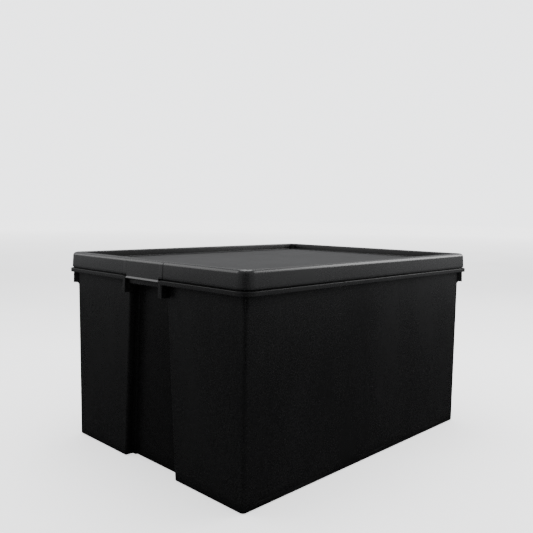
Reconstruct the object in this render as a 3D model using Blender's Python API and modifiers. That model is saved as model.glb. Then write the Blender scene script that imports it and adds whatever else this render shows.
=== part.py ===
"""Heavy-duty storage tote: a tapered tub with a press-on lid, each one injection moulding.

Metres, +Z up. The origin is the centre of the footprint, on the floor. X runs along the length.

Every level section of both mouldings is one outline grown outwards by an offset. Offset 0 is the outer
face of the tub's wall at the height of the rim bead. A moulding is a loft through such sections.
"""

import math
from typing import NamedTuple

import bmesh
import bpy
from mathutils import Matrix, Vector

# --- Overall ------------------------------------------------------------------------------------
LENGTH = 0.800  # over the rim bead
WIDTH = 0.600
HEIGHT = 0.425  # floor to the top of the lid

# --- Tub wall and foot ----------------------------------------------------------------------------
WALL = 0.0032
CORNER_RADIUS = 0.009
DRAFT_RUN = 0.0085  # how far each wall leans in, from the bead down to the floor
FOOT_ROUND = 0.003
FOOT_WIDTH = 0.012
FOOT_HEIGHT = 0.004  # the middle of the base stands this far off the floor
FLOOR_THICKNESS = 0.0035
FLOOR_ROUND = 0.006

# --- Channel down the middle of each end ----------------------------------------------------------
CHANNEL_HALF_TOP = 0.0605
CHANNEL_HALF_FOOT = 0.0845
LAND_DEPTH = 0.0175  # the channel's side walls stop at a narrow land
LAND_WIDTH = 0.009
CHANNEL_DEPTH = 0.022  # the land steps down to the channel's floor
SIDE_DRAFT = 0.001
MOUTH_ROUND = 0.004
ROOT_ROUND = 0.002
STEP_ROUND = 0.0015

# --- Rim: a web, a turned-down lip, and a bead that stands out below the lid ------------------------
BEAD_TIP = 0.0175
BEAD_TOP_Z = 0.388
BEAD_BOTTOM_Z = 0.379
BEAD_ROUND = 0.001
LIP_FACE = 0.0106
LIP_LEAN = 0.001  # the lip leans in by this much between the bead and the web
LIP = 0.0025
RIM_TOP_Z = 0.405
RIM_ROUND = 0.003
RIM_WEB = 0.003
INNER_EDGE = 0.0008  # chamfer where the web meets the inside of the wall

# --- Handle: the rim bridges the channel, and two ears frame the opening -----------------------------
GRIP_FACE = 0.0100  # the lip over the channel: set back behind the bead, and deeper
GRIP_BOTTOM_Z = 0.372
GRIP_TURN = 0.005  # the lip's courses part over this height
EAR_INNER = 0.057
EAR_OUTER = 0.069
EAR_FACE = 0.0172
EAR_ROOT = -0.0195  # the ears reach back into the channel's land
EAR_WALL_ROOT = -0.0016  # and, beside the channel, into the end wall
MOUTH_CORE = 0.0642  # middle of the channel's side wall at the ears
RIB_BOTTOM_Z = 0.353
RIB_HEEL = 0.0035  # radius that runs the foot of a corner rib into the wall
RIB_ROOT = -0.0025  # how deep a corner rib is buried in the wall
RIB_TOP_Z = 0.4035
CORNER_RIB_FACE = 0.0115
CORNER_RIB_THICKNESS = 0.003

# --- Lid ------------------------------------------------------------------------------------------
LID_SKIN = 0.0025
SKIRT_BOTTOM_Z = 0.3904
SKIRT_FACE = 0.0140
SKIRT_LEAN = 0.0012
RIDGE_ROUND = 0.008
TRAY_Z = 0.409
TRAY_INSET = 0.007
TRAY_LEAN = 0.0015
TRAY_ROUND = 0.003
TRAY_CORNER = 0.008
FIELD_INSET = 0.055  # the raised middle of the tray clears the foot of a tote stacked on it
FIELD_RISE = 0.0025
FIELD_SLOPE = 0.004
FIELD_CORNER = 0.030
SEAT_GAP = 0.0004
SEAT_RIB_THICKNESS = 0.0025
SEAT_RIBS_LONG = (0.06, 0.18, 0.30)  # along one half of a long side
SEAT_RIBS_END = (0.13, 0.21)  # along one half of an end

# --- Grip pad and apron on each end of the lid -------------------------------------------------------
PAD_HALF_WIDTH = 0.0665
PAD_PROUD = 0.0012
APRON_HALF_WIDTH = 0.0560  # below the pad, between the ears
APRON_BOTTOM_Z = 0.3831
APRON_FACE = 0.0172
APRON_EDGE = 0.0010
APRON_TOP_Z = 0.3874
EDGE_RUN = 0.0004  # how quickly the pad and the apron step in and out

HALF_LENGTH = LENGTH / 2 - BEAD_TIP
HALF_WIDTH = WIDTH / 2 - BEAD_TIP
SHARPEST = 0.0005
WIDEST_ROOT = 0.0035
CORNER_STEPS = 6
RIDGE_STEPS = 4
ENDS = (1, -1)

BLACK_TUB = (0.018, 0.018, 0.019, 1.0)
TUB_ROUGHNESS = 0.42
BLACK_LID = (0.026, 0.026, 0.027, 1.0)
LID_ROUGHNESS = 0.38


class Corner(NamedTuple):
    """A corner of an outline: where its sides would meet, its rounding radius, and facets in it."""

    x: float
    y: float
    radius: float
    steps: int


# --- Outlines ---------------------------------------------------------------------------------------
def outline_through(corners, offset):
    """Points of a counter-clockwise outline grown by offset, with every corner rounded."""
    points = []
    for i, corner in enumerate(corners):
        at = Vector((corner.x, corner.y))
        before = corners[i - 1]
        after = corners[(i + 1) % len(corners)]
        into = (Vector((before.x, before.y)) - at).normalized()
        away = (Vector((after.x, after.y)) - at).normalized()
        turn = (-into).cross(away)
        outward = (into + away).normalized() * -math.copysign(1, turn)
        half_angle = into.angle(away) / 2
        moved = at + outward * offset / math.sin(half_angle)
        radius = corner.radius + offset * math.copysign(1, turn)
        radius = max(radius, SHARPEST) if turn > 0 else min(max(radius, SHARPEST), WIDEST_ROOT)
        points += rounded(moved, into, away, radius, corner.steps)
    return points


def rounded(at, into, away, radius, steps):
    """Points of the arc that rounds a corner whose sides run off along into and away."""
    half_angle = into.angle(away) / 2
    centre = at + (into + away).normalized() * radius / math.sin(half_angle)
    start = at + into * radius / math.tan(half_angle) - centre
    end = at + away * radius / math.tan(half_angle) - centre
    sweep = -start.angle_signed(end)
    return [centre + Matrix.Rotation(sweep * i / steps, 2) @ start for i in range(steps + 1)]


def channel_half_width(z):
    return CHANNEL_HALF_FOOT + (CHANNEL_HALF_TOP - CHANNEL_HALF_FOOT) * z / RIM_TOP_Z


def wall_points(offset, z):
    """The wall's outline at height z, with a stepped channel in each end."""
    lean = DRAFT_RUN * (1 - z / BEAD_TOP_Z)
    x = HALF_LENGTH - lean
    y = HALF_WIDTH - lean
    mouth_y = channel_half_width(z)
    land_y = mouth_y - SIDE_DRAFT
    step_y = land_y - LAND_WIDTH
    floor_y = step_y - SIDE_DRAFT
    near = [
        Corner(x, -y, CORNER_RADIUS, CORNER_STEPS),
        Corner(x, -mouth_y, MOUTH_ROUND, 3),
        Corner(x - LAND_DEPTH, -land_y, ROOT_ROUND, 2),
        Corner(x - LAND_DEPTH, -step_y, STEP_ROUND, 1),
        Corner(x - CHANNEL_DEPTH, -floor_y, STEP_ROUND, 1),
    ]
    far = [c._replace(y=-c.y) for c in reversed(near)]
    end = near + far
    other_end = [c._replace(x=-c.x, y=-c.y) for c in end]
    return outline_through(end + other_end, offset)


def plain_points(offset, radius):
    """Four lists, the rounded corners of the outline without channels, from +X -Y round to -X -Y."""
    x = HALF_LENGTH + offset
    y = HALF_WIDTH + offset
    corners = [Corner(x * i, y * j, radius, CORNER_STEPS) for i, j in ((1, -1), (1, 1), (-1, 1), (-1, -1))]
    points = outline_through(corners, 0.0)
    count = CORNER_STEPS + 1
    return [points[i : i + count] for i in range(0, len(points), count)]


def wall_ring(offset, z):
    return [(p.x, p.y, z) for p in wall_points(offset, z)]


def closed_ring(main, radius, span):
    """A ring at (offset, height) main. Span crosses the middle of each end: its points are
    (y, offset, height)."""
    offset, z = main
    arcs = plain_points(offset, radius)
    ring = []
    for end, (first, last) in zip(ENDS, ((arcs[0], arcs[1]), (arcs[2], arcs[3]))):
        ring += [(p.x, p.y, z) for p in first]
        ring += [(end * (HALF_LENGTH + out), end * y, height) for y, out, height in span]
        ring += [(p.x, p.y, z) for p in last]
    return ring


def rim_ring(main, grip):
    """A ring of the rim, point for point with wall_ring, that takes another course over the channel."""
    wall = wall_points(0.0, RIM_TOP_Z)
    across = [p.y for p in wall[CORNER_STEPS + 1 : len(wall) // 2 - CORNER_STEPS - 1]]
    reach = CHANNEL_HALF_TOP - SIDE_DRAFT / 2
    span = [(y, *(grip if abs(y) < reach else main)) for y in across]
    return closed_ring(main, CORNER_RADIUS + main[0], span)


def lid_ring(skirt, pad=None, apron=None, radius=None):
    """A ring of the lid, with its own course over the grip pad and over the apron below it."""
    pad = pad or skirt
    apron = apron or pad
    steps = [
        (PAD_HALF_WIDTH + EDGE_RUN, skirt),
        (PAD_HALF_WIDTH, pad),
        (APRON_HALF_WIDTH + EDGE_RUN, pad),
        (APRON_HALF_WIDTH, apron),
    ]
    span = [(-y, *at) for y, at in steps] + [(y, *at) for y, at in reversed(steps)]
    return closed_ring(skirt, radius or CORNER_RADIUS + skirt[0], span)


def arc(centre, radius, start_deg, end_deg, steps):
    """Profile points on an arc, as (offset, height)."""
    turns = [math.radians(start_deg + (end_deg - start_deg) * i / steps) for i in range(steps + 1)]
    return [(centre[0] + radius * math.cos(t), centre[1] + radius * math.sin(t)) for t in turns]


# --- Building ---------------------------------------------------------------------------------------
def new_object(name, bm, collection):
    mesh = bpy.data.meshes.new(name)
    bm.to_mesh(mesh)
    bm.free()
    obj = bpy.data.objects.new(name, mesh)
    collection.objects.link(obj)
    return obj


def loft(name, rings, collection):
    """A closed body through rings of equal point counts, the first and the last one filled."""
    bm = bmesh.new()
    loops = [[bm.verts.new(point) for point in ring] for ring in rings]
    for below, above in zip(loops, loops[1:]):
        for i in range(len(below)):
            bm.faces.new((below[i - 1], below[i], above[i], above[i - 1]))
    bm.faces.new(loops[0])
    bm.faces.new(loops[-1])
    bmesh.ops.connect_verts_nonplanar(bm, angle_limit=math.radians(0.01), faces=bm.faces)
    bmesh.ops.recalc_face_normals(bm, faces=bm.faces)
    obj = new_object(name, bm, collection)
    obj.data.shade_smooth()
    obj.data.set_sharp_from_angle(angle=math.radians(30))
    return obj


def new_helper(name, bm, collection):
    """A body that is only joined to another one, or cut from it."""
    helper = new_object(name, bm, collection)
    helper.hide_render = True
    helper.display_type = "WIRE"
    return helper


def plates(name, outlines, thickness, offset, collection):
    """Flat plates on planar outlines, thickened and mirrored into all four quarters of the tote."""
    bm = bmesh.new()
    for outline in outlines:
        bm.faces.new([bm.verts.new(point) for point in outline])
    helper = new_helper(name, bm, collection)
    thicken = helper.modifiers.new("thickness", "SOLIDIFY")
    thicken.thickness = thickness
    thicken.offset = offset
    quarters = helper.modifiers.new("quarters", "MIRROR")
    quarters.use_axis = (True, True, False)
    quarters.use_mirror_merge = False
    return helper


def boolean(target, operation, helper):
    modifier = target.modifiers.new(helper.name, "BOOLEAN")
    modifier.operation = operation
    modifier.object = helper
    modifier.solver = "EXACT"


def new_collection(name, parent):
    collection = bpy.data.collections.new(name)
    parent.children.link(collection)
    return collection


def black_plastic(name, colour, roughness):
    material = bpy.data.materials.new(name)
    material.use_nodes = True
    shader = material.node_tree.nodes["Principled BSDF"]
    shader.inputs["Base Color"].default_value = colour
    shader.inputs["Roughness"].default_value = roughness
    return material


# --- Tub --------------------------------------------------------------------------------------------
def tub_outside():
    """Rings from the middle of the base, down round the foot, and up the wall to the rim."""
    foot = arc((-FOOT_ROUND, FOOT_ROUND), FOOT_ROUND, -90, 0, 2)
    foot_inner = -FOOT_ROUND - FOOT_WIDTH
    rings = [wall_ring(foot_inner - FOOT_HEIGHT / 2, FOOT_HEIGHT), wall_ring(foot_inner, 0.0)]
    rings += [wall_ring(offset, z) for offset, z in foot]
    rings.append(wall_ring(0.0, RIM_TOP_Z - RIM_WEB))
    return rings


def rim_underside():
    """Rings out under the web, down inside the lip, and round the foot of the bead."""
    inner = LIP_FACE - LIP
    grip_inner = GRIP_FACE - LIP
    under_web = RIM_TOP_Z - RIM_WEB
    shelf_z = BEAD_TOP_Z - LIP
    return [
        rim_ring((inner, under_web), (grip_inner, under_web)),
        rim_ring((inner, shelf_z), (grip_inner, shelf_z)),
        rim_ring((BEAD_TIP - LIP, shelf_z), (grip_inner, shelf_z - GRIP_TURN)),
        rim_ring((BEAD_TIP - LIP, BEAD_BOTTOM_Z), (grip_inner, GRIP_BOTTOM_Z)),
        rim_ring((BEAD_TIP - BEAD_ROUND, BEAD_BOTTOM_Z), (GRIP_FACE - BEAD_ROUND, GRIP_BOTTOM_Z)),
        rim_ring((BEAD_TIP, BEAD_BOTTOM_Z + BEAD_ROUND), (GRIP_FACE, GRIP_BOTTOM_Z + BEAD_ROUND)),
    ]


def rim_outside():
    """Rings up the bead, in along its top, up the lip and in over the web."""
    lip_top = LIP_FACE - LIP_LEAN
    grip_top = GRIP_FACE - LIP_LEAN
    below_top = BEAD_TOP_Z - BEAD_ROUND
    rings = [
        rim_ring((BEAD_TIP, below_top), (GRIP_FACE, below_top - GRIP_TURN)),
        rim_ring((BEAD_TIP - BEAD_ROUND, BEAD_TOP_Z), (GRIP_FACE, below_top)),
        rim_ring((LIP_FACE, BEAD_TOP_Z), (GRIP_FACE, BEAD_TOP_Z)),
    ]
    for out, z in arc((-RIM_ROUND, RIM_TOP_Z - RIM_ROUND), RIM_ROUND, 0, 90, 2):
        rings.append(rim_ring((lip_top + out, z), (grip_top + out, z)))
    return rings


def tub_inside():
    """Rings down the inner face of the wall to the floor."""
    floor_z = FOOT_HEIGHT + FLOOR_THICKNESS
    rings = [wall_ring(-WALL + INNER_EDGE, RIM_TOP_Z), wall_ring(-WALL, RIM_TOP_Z - INNER_EDGE)]
    centre = (-WALL - FLOOR_ROUND, floor_z + FLOOR_ROUND)
    return rings + [wall_ring(out, z) for out, z in arc(centre, FLOOR_ROUND, 0, -90, 3)]


def make_ears(tools):
    """Blocks that run from the channel's lands and the end wall out to the rim, and frame the hand hold."""
    plan = [
        (EAR_ROOT, EAR_INNER),
        (EAR_FACE, EAR_INNER),
        (EAR_FACE, EAR_OUTER),
        (EAR_WALL_ROOT, EAR_OUTER),
        (EAR_WALL_ROOT, MOUTH_CORE),
        (EAR_ROOT, MOUTH_CORE),
    ]
    outline = [(HALF_LENGTH + out, y, RIB_BOTTOM_Z) for out, y in plan]
    height = BEAD_TOP_Z - BEAD_ROUND - RIB_BOTTOM_Z
    return plates("ears", [outline], height, 1.0, tools)


def make_corner_ribs(tools):
    """One gusset on the diagonal of each corner: out of the wall in a curve, and up under the rim."""
    shelf_z = BEAD_TOP_Z - LIP / 2
    lip_core = LIP_FACE - LIP_LEAN - LIP / 2
    profile = [
        (RIB_ROOT, RIB_BOTTOM_Z - RIB_HEEL),
        *arc((RIB_HEEL, RIB_BOTTOM_Z - RIB_HEEL), RIB_HEEL, 180, 90, 4),
        (CORNER_RIB_FACE, RIB_BOTTOM_Z),
        (CORNER_RIB_FACE, shelf_z),
        (lip_core, shelf_z),
        (lip_core, RIB_TOP_Z),
        (RIB_ROOT, RIB_TOP_Z),
    ]
    outline = []
    for out, z in profile:
        along = (CORNER_RADIUS + out) * math.sqrt(0.5) - CORNER_RADIUS
        outline.append((HALF_LENGTH + along, HALF_WIDTH + along, z))
    return plates("corner_ribs", [outline], CORNER_RIB_THICKNESS, 0.0, tools)


def make_tub(parts, tools):
    rings = tub_outside() + rim_underside() + rim_outside() + tub_inside()
    tub = loft("tub", rings, parts)
    boolean(tub, "UNION", make_ears(tools))
    boolean(tub, "UNION", make_corner_ribs(tools))
    tub.data.materials.append(black_plastic("black_tub", BLACK_TUB, TUB_ROUGHNESS))


# --- Lid --------------------------------------------------------------------------------------------
def skirt_outside():
    """Rings up the skirt's outer face, over the pad and the flared apron."""
    pad_face = SKIRT_FACE + PAD_PROUD
    apron_foot = APRON_BOTTOM_Z + APRON_EDGE
    apron = [(APRON_FACE, APRON_BOTTOM_Z), (APRON_FACE, apron_foot), (pad_face, APRON_TOP_Z)]
    rings = []
    for i, at in enumerate(apron):
        z = SKIRT_BOTTOM_Z + i * APRON_EDGE
        rings.append(lid_ring((SKIRT_FACE, z), (pad_face, z), at))
    return rings


def ridge_outside():
    """Rings over the ridge: its rounded outer edge, its top, and the wall down to the tray."""
    face = SKIRT_FACE - SKIRT_LEAN
    turn = arc((face - RIDGE_ROUND, HEIGHT - RIDGE_ROUND), RIDGE_ROUND, 0, 90, RIDGE_STEPS)
    rings = []
    for i, (out, z) in enumerate(turn):
        rings.append(lid_ring((out, z), (out + PAD_PROUD * (1 - i / RIDGE_STEPS), z)))
    brow = arc((-TRAY_INSET + TRAY_LEAN + TRAY_ROUND, HEIGHT - TRAY_ROUND), TRAY_ROUND, 90, 180, 2)
    root = arc((-TRAY_INSET - TRAY_ROUND / 2, TRAY_Z + TRAY_ROUND / 2), TRAY_ROUND / 2, 0, -90, 2)
    return rings + [lid_ring(at, radius=TRAY_CORNER) for at in brow + root]


def ridge_inside():
    """Rings under the ridge, from the tray's underside out to the skirt's inner face."""
    face = SKIRT_FACE - SKIRT_LEAN
    under = TRAY_Z - LID_SKIN
    wall = -TRAY_INSET + LID_SKIN
    turn = arc((face - RIDGE_ROUND, HEIGHT - RIDGE_ROUND), RIDGE_ROUND - LID_SKIN, 90, 0, RIDGE_STEPS)
    rings = [
        lid_ring((wall, under), radius=TRAY_CORNER + LID_SKIN),
        lid_ring((wall + TRAY_LEAN, HEIGHT - LID_SKIN), radius=TRAY_CORNER + LID_SKIN),
    ]
    for i, (out, z) in enumerate(turn):
        rings.append(lid_ring((out, z), (out + PAD_PROUD * i / RIDGE_STEPS, z)))
    return rings


def skirt_inside():
    """The ring that ends the skirt's inner face, at its lower edge."""
    inner = SKIRT_FACE - LID_SKIN
    pad_inner = inner + PAD_PROUD
    return [lid_ring((inner, SKIRT_BOTTOM_Z), (pad_inner, SKIRT_BOTTOM_Z), (pad_inner, APRON_BOTTOM_Z))]


def tray_rings(drop):
    """The raised middle of the tray: its foot and its edge, drop below the top surface."""
    foot = (-FIELD_INSET, TRAY_Z - drop)
    edge = (-FIELD_INSET - FIELD_SLOPE, TRAY_Z + FIELD_RISE - drop)
    return [lid_ring(foot, radius=FIELD_CORNER), lid_ring(edge, radius=FIELD_CORNER - FIELD_SLOPE)]


def make_seat_ribs(tools):
    """Short plates under the ridge that carry the lid on the tub's rim."""
    face = SKIRT_FACE - SKIRT_LEAN - LID_SKIN / 2
    bury = RIDGE_ROUND - LID_SKIN / 2
    turn = arc((face - bury, HEIGHT - RIDGE_ROUND), bury, 90, 0, RIDGE_STEPS)
    wall = -TRAY_INSET + LID_SKIN / 2
    seat_z = RIM_TOP_Z + SEAT_GAP
    profile = [(wall, seat_z), (wall + TRAY_LEAN, HEIGHT - LID_SKIN / 2), *turn, (face, seat_z)]
    outlines = [[(x, HALF_WIDTH + out, z) for out, z in profile] for x in SEAT_RIBS_LONG]
    outlines += [[(HALF_LENGTH + out, y, z) for out, z in profile] for y in SEAT_RIBS_END]
    return plates("seat_ribs", outlines, SEAT_RIB_THICKNESS, 0.0, tools)


def make_lid(parts, tools):
    top = skirt_outside() + ridge_outside() + tray_rings(0.0)
    underside = ridge_inside() + skirt_inside()
    lid = loft("lid", list(reversed(tray_rings(LID_SKIN))) + underside + top, parts)
    boolean(lid, "UNION", make_seat_ribs(tools))
    lid.data.materials.append(black_plastic("black_lid", BLACK_LID, LID_ROUGHNESS))


def main():
    for obj in list(bpy.data.objects):
        bpy.data.objects.remove(obj)
    parts = new_collection("storage_tote", bpy.context.scene.collection)
    tools = new_collection("cutters", bpy.context.scene.collection)
    make_tub(parts, tools)
    make_lid(parts, tools)


main()
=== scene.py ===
"""Render scene for the storage tote: fine tub and lid meshes, their plastics, a floor, light and camera.

Metres, +Z up, in the frame's own axes. Every level section of both mouldings is one outline grown
outwards by an offset. Offset 0 is the outer face of the tub's wall at the height of the rim bead. A
moulding is a loft through such sections.
"""

import math
from typing import NamedTuple

import bmesh
import bpy
from mathutils import Matrix, Vector


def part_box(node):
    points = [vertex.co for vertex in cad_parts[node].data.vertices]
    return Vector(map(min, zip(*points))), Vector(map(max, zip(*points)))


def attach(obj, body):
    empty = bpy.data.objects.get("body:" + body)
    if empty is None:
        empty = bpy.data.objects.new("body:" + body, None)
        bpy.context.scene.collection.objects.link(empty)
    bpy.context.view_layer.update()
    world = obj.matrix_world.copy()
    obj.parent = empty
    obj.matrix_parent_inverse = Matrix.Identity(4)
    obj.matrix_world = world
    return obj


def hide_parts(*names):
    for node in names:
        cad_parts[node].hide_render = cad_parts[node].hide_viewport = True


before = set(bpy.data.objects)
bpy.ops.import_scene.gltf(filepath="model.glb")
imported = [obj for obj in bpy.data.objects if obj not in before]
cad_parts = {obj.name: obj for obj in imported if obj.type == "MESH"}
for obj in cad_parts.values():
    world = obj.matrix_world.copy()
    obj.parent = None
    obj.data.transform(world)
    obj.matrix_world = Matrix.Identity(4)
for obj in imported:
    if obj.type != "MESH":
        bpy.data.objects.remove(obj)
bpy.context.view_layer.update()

tub_low, tub_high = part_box("tub")
lid_low, lid_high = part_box("lid")

# --- Taken from the frame ---------------------------------------------------------------------------
LENGTH = tub_high[0] - tub_low[0]  # over the rim bead
WIDTH = tub_high[1] - tub_low[1]
RIM_TOP_Z = tub_high[2]
HEIGHT = lid_high[2]
APRON_BOTTOM_Z = lid_low[2]

# --- Tub wall and foot --------------------------------------------------------------------------------
WALL = 0.0032
CORNER_RADIUS = 0.009
DRAFT_RUN = 0.0085  # how far each wall leans in, from the bead down to the floor
FOOT_ROUND = 0.003
FOOT_WIDTH = 0.012
FOOT_HEIGHT = 0.004  # the middle of the base stands this far off the floor
FOOT_SLOPE = 0.0025  # the foot's inner side runs up to the base over this width
FOOT_ROOT_ROUND = 0.0012
BASE_LAP = 0.006  # the base's last course lies this far inside the foot
FLOOR_THICKNESS = 0.0035
FLOOR_ROUND = 0.006

# --- Channel down the middle of each end --------------------------------------------------------------
CHANNEL_HALF_TOP = 0.0605
CHANNEL_HALF_FOOT = 0.0845
LAND_DEPTH = 0.0175  # the channel's side walls stop at a narrow land
LAND_WIDTH = 0.009
CHANNEL_DEPTH = 0.022  # the land steps down to the channel's floor
SIDE_DRAFT = 0.001
MOUTH_ROUND = 0.004
ROOT_ROUND = 0.002
STEP_ROUND = 0.0015

# --- Rim: a web, a turned-down lip, and a bead that stands out below the lid ----------------------------
BEAD_TIP = 0.0175
BEAD_TOP_Z = 0.388
BEAD_BOTTOM_Z = 0.379
BEAD_ROUND = 0.0011
LIP_FACE = 0.0106
LIP_LEAN = 0.001  # the lip leans in by this much between the bead and the web
LIP = 0.0025
RIM_ROUND = 0.003
RIM_WEB = 0.003
WEB_ROOT_ROUND = 0.0015  # from the wall out under the web
WEB_ROUND = 0.0012
SHELF_ROUND = 0.001  # inside the bead
HEM_ROUND = 0.0007  # at the thin edges of the foot, the lip and the bead
MOUTH_EDGE_ROUND = 0.0009  # from the web down into the tub

# --- Handle: the rim bridges the channel, and two ears frame the opening --------------------------------
GRIP_FACE = 0.0100  # the lip over the channel: set back behind the bead, and deeper
GRIP_BOTTOM_Z = 0.372
GRIP_TURN = 0.005  # the lip's courses part over this height
GRIP_START = 0.0645  # the bead turns into the grip inside the thickness of the ears
GRIP_RUN = 0.006
EAR_INNER = 0.057
EAR_OUTER = 0.069
EAR_FACE = 0.0172
EAR_ROOT = -0.0195  # the ears reach back into the channel's land
EAR_WALL_ROOT = -0.0016  # and, beside the channel, into the end wall
EAR_EDGE = 0.0009
MOUTH_CORE = 0.0642  # middle of the channel's side wall at the ears
RIB_BOTTOM_Z = 0.353
RIB_HEEL = 0.0035  # radius that runs the foot of a corner rib into the wall
RIB_ROOT = -0.0025  # how deep a corner rib is buried in the wall
RIB_TOP_Z = 0.4035
RIB_EDGE = 0.0006
CORNER_RIB_FACE = 0.0115
CORNER_RIB_THICKNESS = 0.003

# --- Lid ------------------------------------------------------------------------------------------------
LID_SKIN = 0.0025
SKIRT_BOTTOM_Z = 0.3904
SKIRT_FACE = 0.0140
SKIRT_LEAN = 0.0012
SKIRT_HEM_ROUND = 0.0006
SKIRT_COURSE = 0.002  # height between the skirt's courses that pair with the apron's
SKIRT_COURSE_RUN = 0.0005  # how far the points of such a course lie above and below it
RIDGE_ROUND = 0.008
RIDGE_ROOT_ROUND = 0.001
TRAY_Z = 0.409
TRAY_INSET = 0.007
TRAY_LEAN = 0.0015
TRAY_ROUND = 0.003
TRAY_ROOT_ROUND = 0.0015
TRAY_UNDER_ROUND = 0.0006
TRAY_CORNER = 0.008
FIELD_INSET = 0.055  # the raised middle of the tray clears the foot of a tote stacked on it
FIELD_RISE = 0.0025
FIELD_SLOPE = 0.004
FIELD_ROUND = 0.002
FIELD_CORNER = 0.030
FIELD_LAP = 0.003  # the field's last course lies this far inside its slope
SEAT_GAP = 0.0004
SEAT_RIB_THICKNESS = 0.0025
SEAT_RIB_EDGE = 0.0004
SEAT_RIBS_LONG = (0.06, 0.18, 0.30)  # along one half of a long side
SEAT_RIBS_END = (0.13, 0.21)  # along one half of an end

# --- Grip pad and apron on each end of the lid ------------------------------------------------------------
PAD_HALF_WIDTH = 0.0665
PAD_PROUD = 0.0012
PAD_RUN = 0.0014  # width over which the skirt blends into the pad
APRON_HALF_WIDTH = 0.0560  # below the pad, between the ears
APRON_FACE = 0.0172
APRON_EDGE = 0.0010
APRON_TOP_Z = 0.3874
APRON_TOP_ROUND = 0.001
APRON_RUN = 0.0006  # width over which the pad's foot blends into the apron

HALF_LENGTH = LENGTH / 2 - BEAD_TIP
HALF_WIDTH = WIDTH / 2 - BEAD_TIP
SHARPEST = 0.0005
WIDEST_ROOT = 0.0035

# --- Fineness of the meshes ---------------------------------------------------------------------------------
CORNER_STEPS = 14
MOUTH_STEPS = 8
ROOT_STEPS = 5
LAND_STEPS = 4
FILLET_STEPS = 4
HEEL_STEPS = 10
SEAT_RIB_STEPS = 6
BLEND_STEPS = 6
EDGE_SEGMENTS = 3
EDGE_ANGLE_DEG = 40  # edges of plates that turn by more than this are rounded
SHARP_ANGLE_DEG = 38  # edges that turn by more than this are shaded sharp
FLAT_ANGLE_DEG = 0.01
STRAIGHT_ANGLE_DEG = 89.5  # a corner whose half angle is above this counts as straight


class Corner(NamedTuple):
    """A corner of an outline: where its sides would meet, its rounding radius, and facets in it."""

    x: float
    y: float
    radius: float
    steps: int


class Turn(NamedTuple):
    """A corner of the tub's section, as (offset, height, radius).

    With a grip, the section runs straight across the channels, and takes the grip's course over them.
    """

    main: tuple
    grip: tuple = None


class Course(NamedTuple):
    """A corner of the lid's section, as (offset, height, radius) on the skirt, the pad and the apron.

    Without a pad or an apron, the course stays that of the skirt or the pad. Corner is the radius of the
    section's four corners, where they do not just follow the tub's.
    """

    skirt: tuple
    pad: tuple = None
    apron: tuple = None
    corner: float = None


# --- Outlines -------------------------------------------------------------------------------------------
def rounded(at, into, away, radius, steps):
    """Points of the arc that rounds a corner whose sides run off along into and away."""
    half_angle = into.angle(away) / 2
    if half_angle > math.radians(STRAIGHT_ANGLE_DEG):
        return [at + into * radius * (1 - 2 * i / steps) for i in range(steps + 1)]
    centre = at + (into + away).normalized() * radius / math.sin(half_angle)
    start = at + into * radius / math.tan(half_angle) - centre
    end = at + away * radius / math.tan(half_angle) - centre
    sweep = -start.angle_signed(end)
    return [centre + Matrix.Rotation(sweep * i / steps, 2) @ start for i in range(steps + 1)]


def outline_through(corners, offset):
    """Points of a counter-clockwise outline grown by offset, with every corner rounded."""
    points = []
    for i, corner in enumerate(corners):
        at = Vector((corner.x, corner.y))
        before = corners[i - 1]
        after = corners[(i + 1) % len(corners)]
        into = (Vector((before.x, before.y)) - at).normalized()
        away = (Vector((after.x, after.y)) - at).normalized()
        turn = math.copysign(1, (-into).cross(away))
        half_angle = into.angle(away) / 2
        moved = at - (into + away).normalized() * turn * offset / math.sin(half_angle)
        radius = max(corner.radius + offset * turn, SHARPEST)
        if turn < 0:
            radius = min(radius, WIDEST_ROOT)
        points += rounded(moved, into, away, radius, corner.steps)
    return points


def channel_half_width(z):
    return CHANNEL_HALF_FOOT + (CHANNEL_HALF_TOP - CHANNEL_HALF_FOOT) * z / RIM_TOP_Z


def wall_points(offset, z):
    """The wall's outline at height z, with a stepped channel in each end."""
    lean = DRAFT_RUN * (1 - z / BEAD_TOP_Z)
    x = HALF_LENGTH - lean
    y = HALF_WIDTH - lean
    mouth_y = channel_half_width(z)
    land_y = mouth_y - SIDE_DRAFT
    step_y = land_y - LAND_WIDTH
    floor_y = step_y - SIDE_DRAFT
    near = [
        Corner(x, -y, CORNER_RADIUS, CORNER_STEPS),
        Corner(x, -mouth_y, MOUTH_ROUND, MOUTH_STEPS),
        Corner(x - LAND_DEPTH, -land_y, ROOT_ROUND, ROOT_STEPS),
        Corner(x - LAND_DEPTH, -step_y, STEP_ROUND, LAND_STEPS),
        Corner(x - CHANNEL_DEPTH, -floor_y, STEP_ROUND, LAND_STEPS),
    ]
    far = [c._replace(y=-c.y) for c in reversed(near)]
    end = near + far
    other_end = [c._replace(x=-c.x, y=-c.y) for c in end]
    return outline_through(end + other_end, offset)


def plain_points(offset, radius):
    """Four lists, the rounded corners of the outline without channels, from +X -Y round to -X -Y."""
    x = HALF_LENGTH + offset
    y = HALF_WIDTH + offset
    corners = [Corner(x * i, y * j, radius, CORNER_STEPS) for i, j in ((1, -1), (1, 1), (-1, 1), (-1, -1))]
    points = outline_through(corners, 0.0)
    count = CORNER_STEPS + 1
    return [points[i : i + count] for i in range(0, len(points), count)]


def closed_ring(main, radius, span):
    """A ring at (offset, height) main. Span crosses the middle of each end as (y, offset, height)."""
    offset, z = main
    arcs = plain_points(offset, radius)
    ring = []
    for end, first, last in ((1, arcs[0], arcs[1]), (-1, arcs[2], arcs[3])):
        ring += [(p.x, p.y, z) for p in first]
        ring += [(end * (HALF_LENGTH + out), end * y, height) for y, out, height in span]
        ring += [(p.x, p.y, z) for p in last]
    return ring


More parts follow.
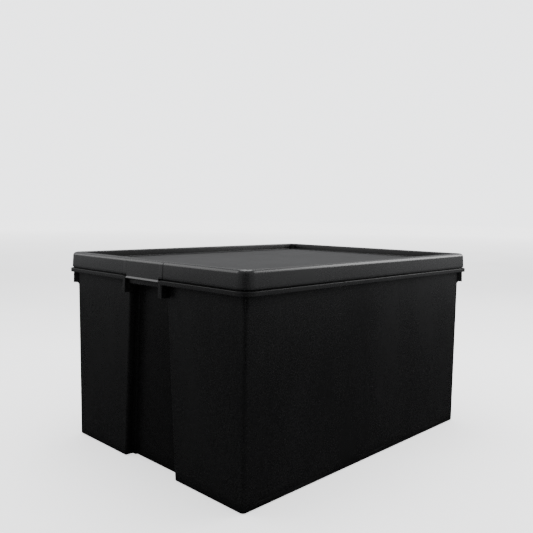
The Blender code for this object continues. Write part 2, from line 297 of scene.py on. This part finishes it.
def smooth(share):
    """A share from 0 to 1, eased at both ends."""
    share = min(max(share, 0.0), 1.0)
    return share * share * (3 - 2 * share)


def mixed(a, b, share):
    return tuple(p + (q - p) * share for p, q in zip(a, b))


def wall_ring(offset, z):
    return [(p.x, p.y, z) for p in wall_points(offset, z)]


def rim_ring(main, grip):
    """A ring of the rim, point for point with wall_ring, with its own course over the handle."""
    wall = wall_points(0.0, RIM_TOP_Z)
    across = [p.y for p in wall[CORNER_STEPS + 1 : len(wall) // 2 - CORNER_STEPS - 1]]
    span = [(y, *mixed(main, grip, smooth((GRIP_START - abs(y)) / GRIP_RUN))) for y in across]
    return closed_ring(main, CORNER_RADIUS + main[0], span)


def lid_ring(skirt, pad, apron, radius):
    """A ring of the lid, with its own course over the grip pad and over the apron below it."""
    half = []
    steps = ((PAD_HALF_WIDTH, PAD_RUN, skirt, pad), (APRON_HALF_WIDTH, APRON_RUN, pad, apron))
    for edge, run, low, high in steps:
        for i in range(BLEND_STEPS + 1):
            share = i / BLEND_STEPS
            half.append((edge + run * (1 - share), *mixed(low, high, smooth(share))))
    span = [(-y, out, z) for y, out, z in half] + list(reversed(half))
    return closed_ring(skirt, radius, span)


# --- Sections ---------------------------------------------------------------------------------------------
def filleted(corners, steps=FILLET_STEPS):
    """(offset, height) points through corners given as (offset, height, radius)."""
    points = [corners[0][:2]]
    for before, corner, after in zip(corners, corners[1:], corners[2:]):
        at = Vector(corner[:2])
        into = (Vector(before[:2]) - at).normalized()
        away = (Vector(after[:2]) - at).normalized()
        points += [tuple(p) for p in rounded(at, into, away, corner[2], steps)]
    return points + [corners[-1][:2]]


def at_each_point(values):
    """One value for each point that filleted() makes, from one value for each corner."""
    inner = [value for value in values[1:-1] for _ in range(FILLET_STEPS + 1)]
    return [values[0], *inner, values[-1]]


# --- Building ---------------------------------------------------------------------------------------------
def loft(name, rings):
    """A closed body through rings of equal point counts, the first and the last one filled."""
    bm = bmesh.new()
    loops = [[bm.verts.new(point) for point in ring] for ring in rings]
    for below, above in zip(loops, loops[1:]):
        for i in range(len(below)):
            bm.faces.new((below[i - 1], below[i], above[i], above[i - 1]))
    bm.faces.new(loops[0])
    bm.faces.new(loops[-1])
    bmesh.ops.connect_verts_nonplanar(bm, angle_limit=math.radians(FLAT_ANGLE_DEG), faces=bm.faces)
    bmesh.ops.recalc_face_normals(bm, faces=bm.faces)
    return new_object(name, bm)


def new_object(name, bm):
    mesh = bpy.data.meshes.new(name)
    bm.to_mesh(mesh)
    bm.free()
    obj = bpy.data.objects.new(name, mesh)
    bpy.context.scene.collection.objects.link(obj)
    return obj


def plates(name, outlines, thickness, side, edge):
    """Flat plates on planar outlines, thickened, rounded and mirrored into all four quarters.

    Side is 0 for a plate that is centred on its outline, and 1 for one that lies on one side of it.
    """
    bm = bmesh.new()
    for outline in outlines:
        bm.faces.new([bm.verts.new(point) for point in outline])
    helper = new_object(name, bm)
    thicken = helper.modifiers.new("thickness", "SOLIDIFY")
    thicken.thickness = thickness
    thicken.offset = side
    soften = helper.modifiers.new("edges", "BEVEL")
    soften.width = edge
    soften.segments = EDGE_SEGMENTS
    soften.limit_method = "ANGLE"
    soften.angle_limit = math.radians(EDGE_ANGLE_DEG)
    quarters = helper.modifiers.new("quarters", "MIRROR")
    quarters.use_axis = (True, True, False)
    quarters.use_mirror_merge = False
    return helper


def join(target, helper):
    """Joins the helper to the target now, and removes it."""
    modifier = target.modifiers.new(helper.name, "BOOLEAN")
    modifier.operation = "UNION"
    modifier.object = helper
    modifier.solver = "EXACT"
    shaped = target.evaluated_get(bpy.context.evaluated_depsgraph_get())
    mesh = bpy.data.meshes.new_from_object(shaped)
    target.modifiers.clear()
    old = target.data
    target.data = mesh
    bpy.data.meshes.remove(old)
    bpy.data.objects.remove(helper)


def finish_surface(obj):
    """Smooth shading that keeps true edges and leaves the flat walls flat."""
    obj.data.shade_smooth()
    obj.data.set_sharp_from_angle(angle=math.radians(SHARP_ANGLE_DEG))
    weights = obj.modifiers.new("weights", "WEIGHTED_NORMAL")
    weights.keep_sharp = True


# --- Tub --------------------------------------------------------------------------------------------------
def foot_turns():
    """From the middle of the base, round the foot, and up the wall to the web."""
    inner = -FOOT_ROUND - FOOT_WIDTH
    return [
        Turn((inner - BASE_LAP, FOOT_HEIGHT, 0.0)),
        Turn((inner - FOOT_SLOPE, FOOT_HEIGHT, FOOT_ROOT_ROUND)),
        Turn((inner, 0.0, HEM_ROUND)),
        Turn((0.0, 0.0, FOOT_ROUND)),
        Turn((0.0, RIM_TOP_Z - RIM_WEB, WEB_ROOT_ROUND)),
    ]


def rim_turns():
    """Out under the web, down inside the lip, round the bead, and up the lip to the top of the web."""
    under_web = RIM_TOP_Z - RIM_WEB
    shelf_z = BEAD_TOP_Z - LIP
    inner = LIP_FACE - LIP
    bead_inner = BEAD_TIP - LIP
    grip_inner = GRIP_FACE - LIP
    lip_top = LIP_FACE - LIP_LEAN
    grip_top = GRIP_FACE - LIP_LEAN
    return [
        Turn((inner, under_web, WEB_ROUND), (grip_inner, under_web, WEB_ROUND)),
        Turn((inner, shelf_z, SHELF_ROUND), (grip_inner, shelf_z, SHELF_ROUND)),
        Turn((bead_inner, shelf_z, SHELF_ROUND), (grip_inner, shelf_z - GRIP_TURN, SHELF_ROUND)),
        Turn((bead_inner, BEAD_BOTTOM_Z, HEM_ROUND), (grip_inner, GRIP_BOTTOM_Z, HEM_ROUND)),
        Turn((BEAD_TIP, BEAD_BOTTOM_Z, BEAD_ROUND), (GRIP_FACE, GRIP_BOTTOM_Z, BEAD_ROUND)),
        Turn((BEAD_TIP, BEAD_TOP_Z, BEAD_ROUND), (GRIP_FACE, BEAD_TOP_Z - GRIP_TURN, BEAD_ROUND)),
        Turn((LIP_FACE, BEAD_TOP_Z, HEM_ROUND), (GRIP_FACE, BEAD_TOP_Z, HEM_ROUND)),
        Turn((lip_top, RIM_TOP_Z, RIM_ROUND), (grip_top, RIM_TOP_Z, RIM_ROUND)),
    ]


def inside_turns():
    """From the web down the inner face of the wall to the middle of the floor."""
    floor_z = FOOT_HEIGHT + FLOOR_THICKNESS
    return [
        Turn((-WALL, RIM_TOP_Z, MOUTH_EDGE_ROUND)),
        Turn((-WALL, floor_z, FLOOR_ROUND)),
        Turn((-WALL - 2 * FLOOR_ROUND, floor_z, 0.0)),
    ]


def ears():
    """Blocks that run from the channel's lands and the end wall out to the rim, and frame the hand hold."""
    plan = [
        (EAR_ROOT, EAR_INNER),
        (EAR_FACE, EAR_INNER),
        (EAR_FACE, EAR_OUTER),
        (EAR_WALL_ROOT, EAR_OUTER),
        (EAR_WALL_ROOT, MOUTH_CORE),
        (EAR_ROOT, MOUTH_CORE),
    ]
    outline = [(HALF_LENGTH + out, y, RIB_BOTTOM_Z) for out, y in plan]
    height = BEAD_TOP_Z - BEAD_ROUND - RIB_BOTTOM_Z
    return plates("ears", [outline], height, 1.0, EAR_EDGE)


def corner_ribs():
    """One gusset on the diagonal of each corner: out of the wall in a curve, and up under the rim."""
    heel = [
        (0.0, RIB_BOTTOM_Z - RIB_HEEL, 0.0),
        (0.0, RIB_BOTTOM_Z, RIB_HEEL * 0.98),  # a little under, so that the curve ends above its foot
        (CORNER_RIB_FACE, RIB_BOTTOM_Z, 0.0),
    ]
    shelf_z = BEAD_TOP_Z - LIP / 2
    lip_core = LIP_FACE - LIP_LEAN - LIP / 2
    profile = [
        (RIB_ROOT, RIB_BOTTOM_Z - RIB_HEEL),
        *filleted(heel, HEEL_STEPS),
        (CORNER_RIB_FACE, shelf_z),
        (lip_core, shelf_z),
        (lip_core, RIB_TOP_Z),
        (RIB_ROOT, RIB_TOP_Z),
    ]
    outline = []
    for out, z in profile:
        along = (CORNER_RADIUS + out) * math.sqrt(0.5) - CORNER_RADIUS
        outline.append((HALF_LENGTH + along, HALF_WIDTH + along, z))
    return plates("corner_ribs", [outline], CORNER_RIB_THICKNESS, 0.0, RIB_EDGE)


def make_tub():
    turns = foot_turns() + rim_turns() + inside_turns()
    mains = filleted([turn.main for turn in turns])
    grips = filleted([turn.grip or turn.main for turn in turns])
    bridges = at_each_point([turn.grip is not None for turn in turns])
    rings = []
    for main, grip, bridged in zip(mains, grips, bridges):
        rings.append(rim_ring(main, grip) if bridged else wall_ring(*main))
    tub = loft("tub_moulding", rings)
    join(tub, ears())
    join(tub, corner_ribs())
    finish_surface(tub)
    return tub


# --- Lid --------------------------------------------------------------------------------------------------
def tray_field(z):
    """From the tray at height z, up the slope of its raised middle, and in."""
    edge = -FIELD_INSET - FIELD_SLOPE
    corner = FIELD_CORNER - FIELD_SLOPE
    return [
        Course((-FIELD_INSET, z, FIELD_ROUND), corner=FIELD_CORNER),
        Course((edge, z + FIELD_RISE, FIELD_ROUND), corner=corner),
        Course((edge - FIELD_LAP, z + FIELD_RISE, 0.0), corner=corner),
    ]


def lid_underside():
    """From the middle of the tray's underside, up inside the ridge, and over to the skirt."""
    under_tray = TRAY_Z - LID_SKIN
    under_top = HEIGHT - LID_SKIN
    wall = -TRAY_INSET + LID_SKIN
    corner = TRAY_CORNER + LID_SKIN
    face = SKIRT_FACE - SKIRT_LEAN - LID_SKIN
    turn = RIDGE_ROUND - LID_SKIN
    return [
        *reversed(tray_field(under_tray)),
        Course((wall, under_tray, TRAY_UNDER_ROUND), corner=corner),
        Course((wall + TRAY_LEAN, under_top, RIDGE_ROOT_ROUND), corner=corner),
        Course((face, under_top, turn), (face + PAD_PROUD, under_top, turn)),
    ]


def lid_skirt():
    """Down inside the skirt, round its foot, and up its face past the foot of the pad and the apron."""
    inner = SKIRT_FACE - LID_SKIN
    pad_inner = inner + PAD_PROUD
    pad_face = SKIRT_FACE + PAD_PROUD
    hem = (SKIRT_BOTTOM_Z, SKIRT_HEM_ROUND)
    apron_hem = (APRON_BOTTOM_Z, SKIRT_HEM_ROUND)
    low = (SKIRT_BOTTOM_Z + SKIRT_COURSE, SKIRT_COURSE_RUN)
    high = (SKIRT_BOTTOM_Z + 2 * SKIRT_COURSE, SKIRT_COURSE_RUN)
    apron_low = (APRON_BOTTOM_Z + APRON_EDGE, SKIRT_HEM_ROUND)
    apron_high = (APRON_TOP_Z, APRON_TOP_ROUND)
    return [
        Course((inner, *hem), (pad_inner, *hem), (pad_inner, *apron_hem)),
        Course((SKIRT_FACE, *hem), (pad_face, *hem), (APRON_FACE, *apron_hem)),
        Course((SKIRT_FACE, *low), (pad_face, *low), (APRON_FACE, *apron_low)),
        Course((SKIRT_FACE, *high), (pad_face, *high), (pad_face, *apron_high)),
    ]


def lid_top():
    """Over the ridge, down to the tray, and in to its middle."""
    face = SKIRT_FACE - SKIRT_LEAN
    return [
        Course((face, HEIGHT, RIDGE_ROUND), (face + PAD_PROUD / 2, HEIGHT, RIDGE_ROUND)),
        Course((-TRAY_INSET + TRAY_LEAN, HEIGHT, TRAY_ROUND), corner=TRAY_CORNER),
        Course((-TRAY_INSET, TRAY_Z, TRAY_ROOT_ROUND), corner=TRAY_CORNER),
        *tray_field(TRAY_Z),
    ]


def seat_ribs():
    """Short plates under the ridge that carry the lid on the tub's rim."""
    face = SKIRT_FACE - SKIRT_LEAN - LID_SKIN / 2
    wall = -TRAY_INSET + LID_SKIN / 2
    top = HEIGHT - LID_SKIN / 2
    seat_z = RIM_TOP_Z + SEAT_GAP
    turn = RIDGE_ROUND - LID_SKIN / 2
    over = filleted([(wall, top, 0), (face, top, turn), (face, seat_z, 0)], SEAT_RIB_STEPS)
    profile = [(wall, seat_z), (wall + TRAY_LEAN, top), *over[1:]]
    outlines = [[(x, HALF_WIDTH + out, z) for out, z in profile] for x in SEAT_RIBS_LONG]
    outlines += [[(HALF_LENGTH + out, y, z) for out, z in profile] for y in SEAT_RIBS_END]
    return plates("seat_ribs", outlines, SEAT_RIB_THICKNESS, 0.0, SEAT_RIB_EDGE)


def make_lid():
    courses = lid_underside() + lid_skirt() + lid_top()
    skirts = filleted([course.skirt for course in courses])
    pads = filleted([course.pad or course.skirt for course in courses])
    aprons = filleted([course.apron or course.pad or course.skirt for course in courses])
    corners = at_each_point([course.corner for course in courses])
    rings = []
    for skirt, pad, apron, corner in zip(skirts, pads, aprons, corners):
        rings.append(lid_ring(skirt, pad, apron, corner or CORNER_RADIUS + skirt[0]))
    lid = loft("lid_moulding", rings)
    join(lid, seat_ribs())
    finish_surface(lid)
    return lid


# --- Shader nodes -------------------------------------------------------------------------------------------
class Nodes:
    """Short ways to add and join shader nodes."""

    def __init__(self, tree):
        self.tree = tree
        self.places = tree.nodes.new("ShaderNodeTexCoord")
        self.coords = self.places.outputs["Object"]

    def add(self, kind, **values):
        """A node with its inputs and, where no input has the name, its settings."""
        node = self.tree.nodes.new(kind)
        for key, value in values.items():
            if key.title() in node.inputs:
                self.feed(node.inputs[key.title()], value)
            else:
                setattr(node, key, value)
        return node

    def feed(self, socket, value):
        """Links a socket to the input, or sets the input's value."""
        if isinstance(value, bpy.types.NodeSocket):
            self.tree.links.new(value, socket)
        else:
            socket.default_value = value

    def axes(self, vector):
        return self.add("ShaderNodeSeparateXYZ", vector=vector).outputs

    def noise(self, scale, detail=3.0, roughness=0.5, stretch=(1.0, 1.0, 1.0)):
        mapping = self.add("ShaderNodeMapping", vector=self.coords, scale=stretch)
        texture = self.add(
            "ShaderNodeTexNoise", vector=mapping.outputs[0], scale=scale, detail=detail, roughness=roughness
        )
        return texture.outputs["Fac"]

    def span(self, value, low, high, to_low=0.0, to_high=1.0):
        """The value's place between low and high, turned into one between to_low and to_high."""
        node = self.add("ShaderNodeMapRange", clamp=True)
        self.feed(node.inputs["Value"], value)
        for name, number in (("From Min", low), ("From Max", high), ("To Min", to_low), ("To Max", to_high)):
            node.inputs[name].default_value = number
        return node.outputs["Result"]

    def math(self, operation, a, b):
        node = self.add("ShaderNodeMath", operation=operation)
        self.feed(node.inputs[0], a)
        self.feed(node.inputs[1], b)
        return node.outputs[0]

    def times(self, a, b):
        return self.math("MULTIPLY", a, b)

    def blend(self, share, low, high):
        """A colour between low and high; a Mix node keeps its two colours at sockets 6 and 7."""
        node = self.add("ShaderNodeMix", data_type="RGBA")
        self.feed(node.inputs["Factor"], share)
        self.feed(node.inputs[6], low)
        self.feed(node.inputs[7], high)
        return node.outputs[2]

    def bump(self, height, distance, strength, normal=None):
        node = self.add("ShaderNodeBump", distance=distance, strength=strength, height=height)
        if normal is not None:
            self.feed(node.inputs["Normal"], normal)
        return node.outputs["Normal"]


def new_material(name):
    material = bpy.data.materials.new(name)
    material.use_nodes = True
    n = Nodes(material.node_tree)
    return material, n, material.node_tree.nodes["Principled BSDF"].inputs


# --- Plastics -----------------------------------------------------------------------------------------------
class Finish(NamedTuple):
    """How the black plastic of one moulding looks."""

    base: float  # grey of the colour
    grain: float  # strength of the moulded grain
    channel: float  # share of light that is left in the end channels
    level_from: float  # upward part of the normal from which a face turns matt and dusty
    level_to: float  # and at which it is so in full


# Both mouldings are the same black plastic; the lid's lighter base is painted light, for the light that its
# skirt catches
TUB_FINISH = Finish(base=0.0048, grain=0.15, channel=0.7, level_from=0.1, level_to=0.8)
LID_FINISH = Finish(base=0.008, grain=0.08, channel=1.0, level_from=0.93, level_to=1.0)

IOR = 1.49
ROUGHNESS = 0.27
LEVEL_ROUGHNESS = 0.2  # added on level faces
SPECULAR = 0.34
LEVEL_SPECULAR = SPECULAR * 0.16
DARK_FLOW = (0.85, 0.85, 0.87)  # of the base, between the flow marks
LIGHT_FLOW = (1.2, 1.2, 1.21)
# painted shade: the grey that recesses and the end channels are darkened towards
PAINTED_SHADE_TONE = (0.3, 0.3, 0.3)
DUST = (0.30, 0.29, 0.28, 1.0)
DUST_SHARE = 0.012
SCUFF = (0.05, 0.05, 0.05, 1.0)
SCUFF_SHARE = 0.15
SCUFF_HEIGHT = 0.03

GRAIN_SCALE = 900.0
GRAIN_DEPTH = 0.00006
PORE_SCALE = 330.0
PORE_DEPTH = 0.00012
WAVE_SCALE = 3.2
WAVE_DEPTH = 0.004

# Painted shade in recesses and in the end channels, taken from ambient occlusion and from position
RECESS_REACH = 0.035
RECESS_SAMPLES = 12
RECESS_SPAN = (0.35, 0.9)  # open sky seen at the darkest point of a recess, and where it ends
RECESS_LIGHT = 0.15  # share of light that is left in the darkest recess
CHANNEL_BACK = 0.050  # the channel's shade lies between these distances in from the end wall
CHANNEL_FRONT = 0.012
CHANNEL_SIDE = 0.090  # and within this distance of the tote's middle
SHADE_EDGE = 0.005  # it fades out over these widths
SHADE_FRONT_EDGE = 0.004


def in_channel(n, place):
    """1 on the sunk faces of the two end channels, where shade is painted, and 0 elsewhere."""
    x = n.math("ABSOLUTE", place["X"], 0.0)
    y = n.math("ABSOLUTE", place["Y"], 0.0)
    back = HALF_LENGTH - CHANNEL_BACK
    front = HALF_LENGTH - CHANNEL_FRONT
    before_back = n.span(x, back, back + SHADE_EDGE)
    behind_front = n.span(x, front - SHADE_FRONT_EDGE, front, 1.0, 0.0)
    between_sides = n.span(y, CHANNEL_SIDE - SHADE_EDGE, CHANNEL_SIDE, 1.0, 0.0)
    return n.times(n.times(before_back, between_sides), behind_front)


def painted_light_share(n, place, finish):
    """1 on open faces, and less in recesses and in the end channels, where shade is painted into the colour
    and the reflections.
    """
    recess = n.add("ShaderNodeAmbientOcclusion", distance=RECESS_REACH, samples=RECESS_SAMPLES).outputs["AO"]
    lit = n.span(recess, *RECESS_SPAN, RECESS_LIGHT, 1.0)
    return n.times(lit, n.span(in_channel(n, place), 0.0, 1.0, 1.0, finish.channel))


def scuffs(n, place):
    """Level scratches round the foot, where the tote slides over floors."""
    scratch = n.noise(26.0, detail=6.0, roughness=0.75, stretch=(0.25, 0.25, 6.0))
    low_down = n.span(place["Z"], 0.0, SCUFF_HEIGHT, 1.0, 0.0)
    return n.times(n.times(low_down, n.span(scratch, 0.52, 0.72)), SCUFF_SHARE)


def tinted(base, tone):
    return (*(base * part for part in tone), 1.0)


def black_colour(n, base, flow, lit, scuff, level):
    """Near black with faint flow marks, painted shade that darkens recesses and the end channels, and a
    little dust on level faces.
    """
    speckle = n.span(n.noise(60.0, detail=6.0, roughness=0.7), 0.45, 0.75)
    dust = n.times(level, n.times(speckle, DUST_SHARE))
    colour = n.blend(n.span(flow, 0.35, 0.65), tinted(base, DARK_FLOW), tinted(base, LIGHT_FLOW))
    # painted shade: the colour darkens in recesses and in the end channels
    colour = n.blend(lit, tinted(base, PAINTED_SHADE_TONE), colour)
    colour = n.blend(scuff, colour, SCUFF)
    return n.blend(dust, colour, DUST)


def satin_roughness(n, flow, pores, scuff, level):
    rough = n.math("ADD", n.span(flow, 0.3, 0.7, ROUGHNESS - 0.03, ROUGHNESS + 0.03), scuff)
    rough = n.math("ADD", rough, n.span(pores, 0.35, 0.65, -0.02, 0.02))
    return n.math("ADD", rough, n.times(level, LEVEL_ROUGHNESS))


def moulded_normal(n, pores, grain):
    """Soft unevenness of the walls, with pores and a fine grain on it."""
    waves = n.noise(WAVE_SCALE, detail=1.0, roughness=0.4)
    normal = n.bump(waves, WAVE_DEPTH, 0.25)
    normal = n.bump(pores, PORE_DEPTH, 0.5 * grain, normal)
    return n.bump(n.noise(GRAIN_SCALE, detail=2.0, roughness=0.6), GRAIN_DEPTH, 0.6 * grain, normal)


def black_plastic(name, finish):
    """Satin moulded polypropylene: grain, flow marks, soft unevenness, a little dust and rubbing, and painted
    shade in recesses.
    """
    material, n, shader = new_material(name)
    place = n.axes(n.coords)
    facing = n.axes(n.add("ShaderNodeNewGeometry").outputs["Normal"])
    level = n.span(facing["Z"], finish.level_from, finish.level_to)
    lit = painted_light_share(n, place, finish)
    scuff = scuffs(n, place)
    flow = n.noise(5.0, detail=4.0, roughness=0.6, stretch=(1.0, 1.0, 0.35))
    pores = n.noise(PORE_SCALE, detail=3.0, roughness=0.55)
    # painted shade: the reflections dim in recesses and in the end channels
    shine = n.times(lit, n.span(level, 0.0, 1.0, SPECULAR, LEVEL_SPECULAR))
    n.feed(shader["Base Color"], black_colour(n, finish.base, flow, lit, scuff, level))
    n.feed(shader["Roughness"], satin_roughness(n, flow, pores, scuff, level))
    n.feed(shader["Normal"], moulded_normal(n, pores, finish.grain))
    n.feed(shader["Specular IOR Level"], shine)
    shader["IOR"].default_value = IOR
    return material


# --- Stage --------------------------------------------------------------------------------------------------
FLOOR_REACH = 30.0
FLOOR_DROP = 0.0005  # keeps the floor clear of the tote's foot
FLOOR_TONES = ((0.84, 0.84, 0.845, 1.0), (0.88, 0.88, 0.885, 1.0))
FLOOR_GLOW_NEAR = 1.3  # the floor's own glow, which only the camera sees, grows with distance
FLOOR_GLOW_FAR = 2.9  # until it meets the backdrop without a visible horizon
FLOOR_NEAR = 2.0
FLOOR_FAR = 16.0

BACKDROP = 3.2  # brightness behind the tote, which only the camera sees
SKY = (0.97, 0.98, 1.0, 1.0)
SKY_ABOVE = 0.9
SKY_BELOW = 0.05
HORIZON = (-0.15, 0.02)
DARK_CORNER = (-1.38, -1.0)  # X + Y of the directions behind the camera that the near corners mirror
DARK_CORNER_SKY = 0.3

CAMERA_HEIGHT = 0.5202
CAMERA_AT = (-1.125, -1.0356)
CAMERA_LOOK = (0.6973, 0.7168)
CAMERA_ROLL_DEG = 0.755
SENSOR_MM = 36.0
LENS_MM = 42.0
CAMERA_SHIFT = (0.045, -0.10)


def make_floor():
    """A pale floor. It is clear from below, so that the tote's underside can be seen."""
    bm = bmesh.new()
    bmesh.ops.create_grid(bm, x_segments=1, y_segments=1, size=FLOOR_REACH)
    floor = new_object("floor", bm)
    floor.location.z = -FLOOR_DROP
    material, n, shader = new_material("pale_floor")
    colour = n.blend(n.span(n.noise(1.4, detail=4.0), 0.3, 0.7), *FLOOR_TONES)
    seen = n.add("ShaderNodeLightPath").outputs["Is Camera Ray"]
    distance = n.add("ShaderNodeVectorMath", operation="LENGTH", vector=n.coords).outputs["Value"]
    glow = n.span(distance, FLOOR_NEAR, FLOOR_FAR, FLOOR_GLOW_NEAR, FLOOR_GLOW_FAR)
    behind = n.add("ShaderNodeNewGeometry").outputs["Backfacing"]
    n.feed(shader["Base Color"], colour)
    n.feed(shader["Emission Color"], colour)
    n.feed(shader["Emission Strength"], n.times(seen, glow))
    n.feed(shader["Alpha"], n.math("SUBTRACT", 1.0, behind))
    shader["Roughness"].default_value = 0.7
    shader["Specular IOR Level"].default_value = 0.2
    floor.data.materials.append(material)
    floor.visible_glossy = False


def soft_light(name, at, size, watts):
    """A square area light aimed at the middle of the tote."""
    data = bpy.data.lights.new(name, "AREA")
    data.shape = "SQUARE"
    data.size = size
    data.energy = watts
    lamp = bpy.data.objects.new(name, data)
    lamp.location = at
    aim = Vector((0.0, 0.0, HEIGHT / 2)) - Vector(at)
    lamp.rotation_euler = aim.to_track_quat("-Z", "Y").to_euler()
    lamp.visible_camera = False
    bpy.context.scene.collection.objects.link(lamp)


def make_lights():
    soft_light("overhead", at=(0.2, 0.2, 2.8), size=2.2, watts=100.0)
    soft_light("side_left", at=(-1.6, 1.9, 1.65), size=1.7, watts=24.0)
    soft_light("side_right", at=(2.5, -1.3, 1.7), size=1.7, watts=60.0)


def make_world():
    """A pale studio all round, dim below the horizon and behind the camera."""
    world = bpy.data.worlds.new("studio")
    world.use_nodes = True
    n = Nodes(world.node_tree)
    direction = n.axes(n.places.outputs["Generated"])
    across = n.math("ADD", direction["X"], direction["Y"])
    glow = n.span(direction["Z"], *HORIZON, SKY_BELOW, SKY_ABOVE)
    glow = n.times(glow, n.span(across, *DARK_CORNER, DARK_CORNER_SKY, 1.0))
    seen = n.add("ShaderNodeLightPath").outputs["Is Camera Ray"]
    background = world.node_tree.nodes["Background"]
    n.feed(background.inputs["Strength"], n.math("MAXIMUM", glow, n.times(seen, BACKDROP)))
    background.inputs["Color"].default_value = SKY
    bpy.context.scene.world = world


def make_camera():
    data = bpy.data.cameras.new("camera")
    data.sensor_width = SENSOR_MM
    data.lens = LENS_MM
    data.shift_x, data.shift_y = CAMERA_SHIFT
    camera = bpy.data.objects.new("camera", data)
    camera.location = (*CAMERA_AT, CAMERA_HEIGHT)
    level = Vector((*CAMERA_LOOK, 0.0)).to_track_quat("-Z", "Y").to_matrix()
    camera.rotation_euler = (level @ Matrix.Rotation(math.radians(CAMERA_ROLL_DEG), 3, "Z")).to_euler()
    bpy.context.scene.collection.objects.link(camera)
    bpy.context.scene.camera = camera


def write_sizes():
    """Updates the view layer."""
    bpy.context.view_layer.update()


def main():
    for piece, node, finish in ((make_tub(), "tub", TUB_FINISH), (make_lid(), "lid", LID_FINISH)):
        piece.data.materials.append(black_plastic(node + "_plastic", finish))
        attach(piece, node)
        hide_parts(node)
    make_floor()
    make_lights()
    make_world()
    make_camera()
    write_sizes()


main()
